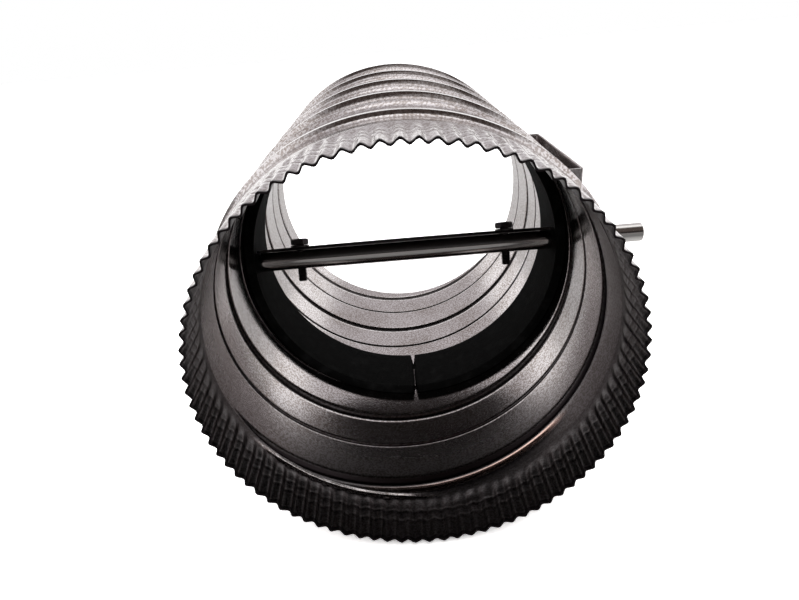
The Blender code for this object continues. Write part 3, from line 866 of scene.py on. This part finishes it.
def object_place(nodes, stretch=(1.0, 1.0, 1.0)):
    """The place on the object, measured from the duct's axis at the shaft, and stretched."""
    spot = nodes.add("ShaderNodeTexCoord", output="Object")
    centre = [-place * factor for place, factor in zip(SHAFT_PLACE, stretch)]
    return nodes.add("ShaderNodeMapping", {"Vector": spot, "Location": centre, "Scale": stretch})


def scaled(tint, factor):
    """Gives a colour that is lighter or darker by a factor."""
    return tuple(factor * part for part in tint)


def mixed(nodes, factor, low, high):
    """Gives a colour between two others, each of them a value or a plain colour."""
    low, high = (tint if isinstance(tint, Value) else (*tint, 1.0) for tint in (low, high))
    # A Mix node's colours go in at 6 and 7 and come out at 2; its other sockets are for other kinds
    return nodes.add("ShaderNodeMix", {0: factor, 6: low, 7: high}, output=2, data_type="RGBA")


def textured(nodes, shader, tint, rough, height, depth):
    """Gives a shader its colour, its roughness and a bump, whose height of 1 stands for a depth in metres."""
    bump = nodes.add("ShaderNodeBump", {"Height": height, "Strength": 1.0, "Distance": depth})
    for value, socket in ((tint, "Base Color"), (rough, "Roughness"), (bump, "Normal")):
        nodes.join(value, shader.inputs[socket])


def rolled(across):
    """How noise is stretched into rolling lines, which are fine across one of the axes."""
    fine, drawn_out = 1500.0, 25.0
    return tuple(fine if axis == across else drawn_out for axis in "XYZ")


def zinc_finish(name, finish, bright, dull, roughness, grain, across):
    """Galvanised sheet: sandy grain, rolling lines, faint spangle, and painted shade and painted sheen where
    marked.

    grain is the depth of the grain, and the rolling lines are fine across the given axis.
    """
    spangles_per_metre = 260.0
    material, nodes, shader = new_finish(name, bright, 1.0, roughness)
    spot = object_place(nodes)
    inputs = {"Vector": spot, "Scale": spangles_per_metre}
    tone, lean, _ = nodes.parts(nodes.add("ShaderNodeTexVoronoi", inputs, output="Color"))
    patches = nodes.noise(spot, size=0.035, detail=4.0)
    specks = nodes.noise(spot, size=0.0012)
    lines = nodes.noise(object_place(nodes, rolled(across)), size=1.0, detail=3.0)
    shade_and_dark_marks = nodes.add("ShaderNodeAttribute", attribute_name="shade_and_dark_marks", output="Fac")
    sheen_and_wear = nodes.add("ShaderNodeAttribute", attribute_name="sheen_and_wear", output="Fac")
    dullness = patches.ramp(0.40, 0.70) * 0.30 + specks.ramp(0.44, 0.56) * 0.70
    tint = mixed(nodes, dullness.within(0.0, 1.0), bright, dull)
    # Painted copper sheen on the lip.
    tint = mixed(nodes, sheen_and_wear * 0.8, tint, finish.worn)
    # Painted shade, and the dark slits and cut edge, in their own colour.
    tint = mixed(nodes, shade_and_dark_marks, tint, finish.stain)
    rough = roughness + (patches - 0.5) * 0.08 + (tone - 0.5) * 0.02 + (lines - 0.5) * 0.03
    height = specks + lines * 0.35 + lean * 0.08
    textured(nodes, shader, tint, rough + shade_and_dark_marks * 0.3, height, grain)
    return material


def rubber_finish(name, tint):
    """Matt black rubber with open pores and dusty patches."""
    pores_per_metre = 1400.0
    material, nodes, shader = new_finish(name, tint, 0.0, 0.8, Specular_IOR_Level=0.05)
    spot = object_place(nodes)
    pores = nodes.add(
        "ShaderNodeTexVoronoi", {"Vector": spot, "Scale": pores_per_metre, "Randomness": 1.0})
    patches = nodes.noise(spot, size=0.01, detail=4.0)
    dusty = mixed(nodes, patches.ramp(0.45, 0.8), tint, scaled(tint, 3.0))
    textured(nodes, shader, dusty, (patches - 0.5) * 0.3 + 0.78, pores + patches * 0.5, 0.0002)
    return material


def plated_finish(name, tint):
    """Bright plated bar with fine lines drawn along it."""
    drawn_along_x = (6.0, 1400.0, 1400.0)
    material, nodes, shader = new_finish(name, tint, 1.0, 0.13)
    lines = nodes.noise(object_place(nodes, drawn_along_x), size=1.0)
    patches = nodes.noise(object_place(nodes), size=0.012, detail=3.0)
    lined = mixed(nodes, lines.ramp(0.5, 0.8), tint, scaled(tint, 0.7))
    textured(nodes, shader, lined, lines * 0.08 + patches * 0.12 + 0.03, lines, 0.000006)
    return material


def fastener_finish(name, tint, metallic=1.0):
    """Dark plating or moulding, worn a little lighter in places."""
    material, nodes, shader = new_finish(name, tint, metallic, 0.4)
    spot = object_place(nodes)
    sheen_and_wear = nodes.noise(spot, size=0.003, detail=4.0)
    fine = nodes.noise(spot, size=0.0006)
    worn = mixed(nodes, sheen_and_wear.ramp(0.5, 0.75), tint, scaled(tint, 1.8))
    textured(nodes, shader, worn, sheen_and_wear * 0.3 + 0.24, fine + sheen_and_wear, 0.00003)
    return material


# Operators


def bolt_places(damper):
    """Gives each bolt's place in the damper's frame, by side."""
    return {
        "left": Matrix.Translation((-damper.left_bolt, 0.0, 0.0)),
        "right": Matrix.Translation((damper.right_bolt, 0.0, 0.0)),
    }


class MakeDuctTube(Operator):
    """Makes the wound tube and its crimped collar"""

    bl_idname = "duct.make_tube"
    bl_label = "Tube"

    def execute(self, context):
        settings = context.scene.duct_section
        finish = settings.finish
        zinc = zinc_finish(
            "galvanised_strip", finish, finish.zinc, finish.tarnish,
            roughness=0.13, grain=0.00003, across="Y")
        sizes = sizes_of(settings.tube)
        tube = grown("wound_tube", wound_tube, zinc, **sizes)
        finish_piece(tube, "duct", "galvanised_steel", "duct_body")
        shared = {key: sizes[key] for key in (
            "bore_radius", "sheet", "start", "ripple", "neck", "neck_length", "lip_width",
            "lip_height")}
        collar = grown("crimped_collar", crimped_collar, zinc, **shared, **sizes_of(settings.crimp))
        finish_piece(collar, "duct", "galvanised_steel", "duct_body", corner=60.0)
        return {"FINISHED"}


class MakeDuctBand(Operator):
    """Makes the rubber band that the blade shuts against"""

    bl_idname = "duct.make_band"
    bl_label = "Rubber Band"

    def execute(self, context):
        settings = context.scene.duct_section
        rubber = rubber_finish("black_rubber", settings.finish.rubber)
        sizes = sizes_of(settings.band)
        band = grown("rubber_band", rubber_band, rubber, bore_radius=settings.tube.bore_radius, **sizes)
        round_edges(band, settings.band.edge)
        finish_piece(band, "duct", "black_rubber", "seal_band")
        return {"FINISHED"}


class MakeDuctDamper(Operator):
    """Makes the shaft and the blade"""

    bl_idname = "duct.make_damper"
    bl_label = "Shaft and Blade"

    def execute(self, context):
        settings = context.scene.duct_section
        damper = settings.damper
        finish = settings.finish
        plated = plated_finish("bright_plating", finish.plating)
        ends = (SHAFT_HIGH.x - SHAFT_PLACE.x, SHAFT_LOW.x - SHAFT_PLACE.x)
        radius, chamfer = damper.shaft_radius, damper.shaft_chamfer
        outline = [(0.0, ends[0]), (radius - chamfer, ends[0]), (radius, ends[0] - chamfer)]
        for start in (damper.groove_at, -damper.groove_at - damper.groove_width):
            end = start + damper.groove_width
            outline += [(radius, end), (damper.groove_radius, end)]
            outline += [(damper.groove_radius, start), (radius, start)]
        outline += [(radius, ends[1] + chamfer), (radius - chamfer, ends[1]), (0.0, ends[1])]
        shaft = turned("plated_shaft", outline, SHAFT_SIDES, plated)
        hole = damper.bolt_radius + SKIN
        for bolt_place in bolt_places(damper).values():
            place = OUTWARDS["right"].inverted() @ DAMPER @ bolt_place
            cut(shaft, rod("tapped_hole", hole, -DRILL, DRILL, HOLE_SIDES, place))
        finish_piece(shaft, "damper", "plated_shaft", "damper_shaft", place=OUTWARDS["right"], corner=30)
        # A near-black blade, so that it and the walls that mirror it show dark.
        zinc = zinc_finish(
            "dark_blade", finish, finish.blade, finish.blade,
            roughness=0.42, grain=0.00006, across="X")
        bottom = radius + SKIN
        top = bottom + damper.blade_thickness
        blade = rod("sheet_blade", damper.blade_radius, bottom, top, BLADE_SIDES, materials=[zinc])
        round_edges(blade, EDGE)
        for place in bolt_places(damper).values():
            cut(blade, rod("bolt_hole", hole, 0.0, DRILL, HOLE_SIDES, place))
        finish_piece(blade, "damper", "blade_steel", "damper_blade", place=DAMPER, corner=30)
        return {"FINISHED"}


class MakeDuctBolts(Operator):
    """Makes the two bolts that hold the blade, with their spring washers"""

    bl_idname = "duct.make_bolts"
    bl_label = "Bolts and Spring Washers"

    def execute(self, context):
        settings = context.scene.duct_section
        damper = settings.damper
        dark = fastener_finish("dark_zinc", settings.finish.fastener)
        blade_top = damper.shaft_radius + damper.blade_thickness + SKIN * 2
        head_bottom = blade_top + damper.washer_height + SKIN
        spread = damper.washer_height * damper.washer_spread
        for side, bolt_place in bolt_places(damper).items():
            place = DAMPER @ bolt_place
            washer = grown(
                f"split_washer_{side}", spring_washer, dark,
                outside=damper.washer_radius, inside=damper.bolt_radius + SKIN,
                thickness=damper.washer_height - spread, spread=spread,
                slit=damper.washer_slit, height=blade_top + damper.washer_height / 2)
            round_edges(washer, WASHER_EDGE)
            finish_piece(
                washer, "damper", "dark_fastener", f"spring_washer_{side}", place=place, corner=30)
            bolt = grown(
                f"hexagon_bolt_{side}", hexagon_bolt, dark,
                head_bottom=head_bottom, head_height=damper.head_height, head_flats=damper.head_flats,
                bolt_radius=damper.bolt_radius, thread_pitch=damper.thread_pitch,
                thread_depth=damper.thread_depth, tip=-damper.shaft_radius - damper.tail)
            finish_piece(bolt, "damper", "dark_fastener", f"blade_bolt_{side}", place=place, corner=25)
        return {"FINISHED"}


class MakeDuctBearings(Operator):
    """Makes the flanged bushes and the rings that keep the shaft in place"""

    bl_idname = "duct.make_bearings"
    bl_label = "Bushes and Rings"

    def execute(self, context):
        settings = context.scene.duct_section
        damper = settings.damper
        nylon = fastener_finish("black_nylon", settings.finish.nylon, metallic=0.0)
        spring = fastener_finish("spring_steel", settings.finish.fastener)
        flange_in = damper.groove_at - damper.flange_thickness
        bore = damper.shaft_radius + SKIN
        barrel_in = settings.tube.bore_radius - settings.band.thickness
        outline = [
            (damper.flange_radius, damper.groove_at), (damper.flange_radius, flange_in),
            (bore + damper.bush_wall, flange_in), (bore + damper.bush_wall, barrel_in),
            (bore, barrel_in), (bore, damper.groove_at),
        ]
        turns = {"left": pi, "right": 0.0}      # so that both rings open downwards
        for side, outwards in OUTWARDS.items():
            bush = turned(f"flanged_bush_{side}", outline, BUSH_SIDES, nylon)
            round_edges(bush, EDGE)
            finish_piece(bush, "duct", "black_nylon", f"shaft_bush_{side}", place=outwards)
            ring = retaining_ring(f"shaft_ring_{side}", damper, spring)
            round_edges(ring, RING_EDGE)
            place = outwards @ Matrix.Rotation(turns[side], 4, "Z")
            finish_piece(ring, "damper", "spring_steel", f"retaining_ring_{side}", place=place)
        return {"FINISHED"}


class MakeDuctBracket(Operator):
    """Makes the bent sheet bracket on the driven side"""

    bl_idname = "duct.make_bracket"
    bl_label = "Mounting Bracket"

    def execute(self, context):
        settings = context.scene.duct_section
        bracket = settings.bracket
        finish = settings.finish
        zinc = zinc_finish(
            "galvanised_bracket", finish, finish.zinc, finish.tarnish,
            roughness=0.24, grain=0.00006, across="Z")
        holder = bracket_sheet("bent_bracket", bracket, zinc)
        solidify = holder.modifiers.new("sheet", "SOLIDIFY")
        solidify.thickness = bracket.sheet
        solidify.offset = 1.0
        solidify.use_even_offset = True
        hole = settings.damper.flange_radius + SKIN * 3
        face = BRACKET_HIGH.x - SHAFT_PLACE.x
        inner, outer = face - DRILL / 2, face + DRILL / 2
        cut(holder, rod("bush_clearance", hole, inner, outer, SHAFT_SIDES, OUTWARDS["right"]))
        round_edges(holder, bracket.edge)
        finish_piece(holder, "duct", "bracket_steel", "mounting_bracket", corner=30)
        return {"FINISHED"}


class MakeDuctStage(Operator):
    """Makes the floor, the light and the camera"""

    bl_idname = "duct.make_stage"
    bl_label = "Stage"

    def execute(self, context):
        stage = context.scene.duct_section.stage
        make_floor(stage)
        make_world(context.scene, stage)
        make_lamp("soft_lamp", stage.lamp_power, size=1.2, place=(0.2, 0.3, 1.3))
        floor_lamp = make_lamp(
            "floor_lamp", stage.floor_lamp_power, size=1.0, place=(0.0, -0.9, 1.1))
        floor_lamp.visible_glossy = False
        make_camera(context.scene, stage)
        context.scene.view_settings.view_transform = "Standard"
        return {"FINISHED"}


# The stage. What comes in pairs is where something begins and is full. On the floor, that is a distance
# along the duct from its middle. On the walls, it is part of a direction, of which straight up, straight
# ahead and straight to one side are each 1.
FLOOR_REACH = 4.0               # from the floor's middle to its edges
NEAR_FLOOR, NEAR_FLOOR_END = 0.2, (-0.25, 0.15)     # brightness of the near floor, as the metal shows it
FAR_FLOOR, FAR_FLOOR_START = 2.0, (0.5, 1.2)        # and of the far floor
BRIGHT_HALF = (-0.05, 0.15)     # how far ahead the white half of the studio begins
SIDE_LIGHTS = (0.45, 0.75)      # how far to each side the side lights begin
LOW_WALL_TOP = (0.15, 0.35)     # how high the low wall ends
DIM_WALL_TOP = (0.35, 0.60)     # how high the room's wall gives way to its ceiling
WALL_SHARE = 0.07               # brightness of that wall, as a share of the ceiling's
SHADE_BOTTOM, SHADE_TOP = (0.12, 0.26), (0.80, 0.95)    # between which the bright half is shaded
LOW_WALL = (0.20, 0.19, 0.19)
SHADED = (0.52, 0.50, 0.51)
BLACK, WHITE = (0.0, 0.0, 0.0), (1.0, 1.0, 1.0)


def ray_kinds(nodes):
    """Gives 1 for rays straight from the camera or through glass, and 1 for rays by way of gloss."""
    path = nodes.add("ShaderNodeLightPath")
    direct = path.also("Is Camera Ray") + path.also("Is Transmission Ray")
    return direct.within(0.0, 1.0), path.also("Is Glossy Ray")


def make_floor(stage):
    """Makes the pale floor, which stays white but for the duct's shadow."""
    bm = bmesh.new()
    bmesh.ops.create_grid(bm, x_segments=1, y_segments=1, size=FLOOR_REACH)
    material = bpy.data.materials.new("floor")
    material.use_nodes = True
    nodes = Nodes(material.node_tree)
    nodes.tree.nodes.clear()
    direct, glossy = ray_kinds(nodes)
    _, along, _ = nodes.parts(nodes.add("ShaderNodeTexCoord", output="Object"))
    near, far = scaled(stage.floor, NEAR_FLOOR), scaled(stage.floor, FAR_FLOOR)
    tone = mixed(nodes, along.ramp(*NEAR_FLOOR_END), near, stage.floor)
    tone = mixed(nodes, along.ramp(*FAR_FLOOR_START) * glossy, tone, far)
    tone = mixed(nodes, direct, tone, scaled(stage.floor, stage.exposure))
    plain = nodes.add("ShaderNodeBsdfDiffuse", {"Color": tone})
    nodes.join(plain, nodes.tree.nodes.new("ShaderNodeOutputMaterial").inputs["Surface"])
    modelled("floor", bm, material)


def make_world(scene, stage):
    """Makes a white studio with a dim room on the camera's side, which only the metal shows."""
    world = bpy.data.worlds.new("studio")
    world.use_nodes = True
    nodes = Nodes(world.node_tree)
    background = world.node_tree.nodes["Background"]
    across, ahead, up = nodes.parts(nodes.add("ShaderNodeTexCoord", output="Generated"))
    direct, glossy = ray_kinds(nodes)
    sides = abs(across).ramp(*SIDE_LIGHTS) * up.ramp(*LOW_WALL_TOP) * glossy
    room_light = up.ramp(*DIM_WALL_TOP).between(WALL_SHARE, 1.0)
    room = mixed(nodes, room_light, BLACK, stage.room)
    room = mixed(nodes, up.ramp(*LOW_WALL_TOP), LOW_WALL, room)
    shade = up.ramp(*SHADE_BOTTOM) * up.fall(*SHADE_TOP) * glossy * (1.0 - sides)
    bright = mixed(nodes, shade, WHITE, SHADED)
    bright_share = (direct + ahead.ramp(*BRIGHT_HALF) + sides).within(0.0, 1.0)
    nodes.join(mixed(nodes, bright_share, room, bright), background.inputs["Color"])
    nodes.join(direct.between(stage.sky, 1.0), background.inputs["Strength"])
    scene.world = world


def make_lamp(name, power, size, place):
    """Makes a square soft lamp that faces the duct."""
    lamp = bpy.data.lights.new(name, "AREA")
    lamp.size = size
    lamp.energy = power
    holder = new_holder(name, lamp)
    holder.location = place
    holder.rotation_euler = (-holder.location).to_track_quat("-Z", "Y").to_euler()
    return holder


def make_camera(scene, stage):
    """Makes the camera, in front of the duct and above it."""
    sensor_width_mm, nearest_seen = 36.0, 0.01
    camera = bpy.data.cameras.new("camera")
    camera.lens = stage.camera_lens
    camera.sensor_width = sensor_width_mm
    camera.clip_start = nearest_seen
    holder = new_holder("camera", camera)
    pan = Matrix.Rotation(-stage.camera_pan, 4, "Z")
    tilt = Matrix.Rotation(pi / 2 - stage.camera_tilt, 4, "X")
    roll = Matrix.Rotation(stage.camera_roll, 4, "Z")
    holder.matrix_world = Matrix.Translation(stage.camera_place) @ pan @ tilt @ roll
    scene.camera = holder


class DuctPanel(Panel):
    """Lists what makes the duct section"""

    bl_idname = "VIEW3D_PT_duct_section"
    bl_label = "Duct Section"
    bl_space_type = "VIEW_3D"
    bl_region_type = "UI"
    bl_category = "Duct"

    def draw(self, context):
        for operator in OPERATORS:
            self.layout.operator(operator.bl_idname)
        settings = context.scene.duct_section
        for name in settings.bl_rna.properties.keys():
            group = getattr(settings, name)
            if isinstance(group, PropertyGroup):
                box = self.layout.box()
                box.label(text=name.capitalize())
                for prop in group.bl_rna.properties:
                    if prop.identifier not in {"name", "rna_type"}:
                        box.prop(group, prop.identifier)


GROUPS = (
    DuctTubeSizes, DuctCrimpSizes, DuctBandSizes, DuctDamperSizes, DuctBracketSizes, DuctFinishes,
    DuctStageSettings, DuctSectionSettings,
)
OPERATORS = (
    MakeDuctTube, MakeDuctBand, MakeDuctDamper, MakeDuctBolts, MakeDuctBearings, MakeDuctBracket,
    MakeDuctStage,
)
CLASSES = (*GROUPS, *OPERATORS, DuctPanel)


def register():
    for item in CLASSES:
        bpy.utils.register_class(item)
    bpy.types.Scene.duct_section = PointerProperty(type=DuctSectionSettings)


def unregister():
    del bpy.types.Scene.duct_section
    for item in reversed(CLASSES):
        bpy.utils.unregister_class(item)


def main():
    """Makes everything."""
    register()
    bpy.ops.duct.make_tube()
    bpy.ops.duct.make_band()
    bpy.ops.duct.make_damper()
    bpy.ops.duct.make_bolts()
    bpy.ops.duct.make_bearings()
    bpy.ops.duct.make_bracket()
    bpy.ops.duct.make_stage()


if __name__ == "__main__":
    main()
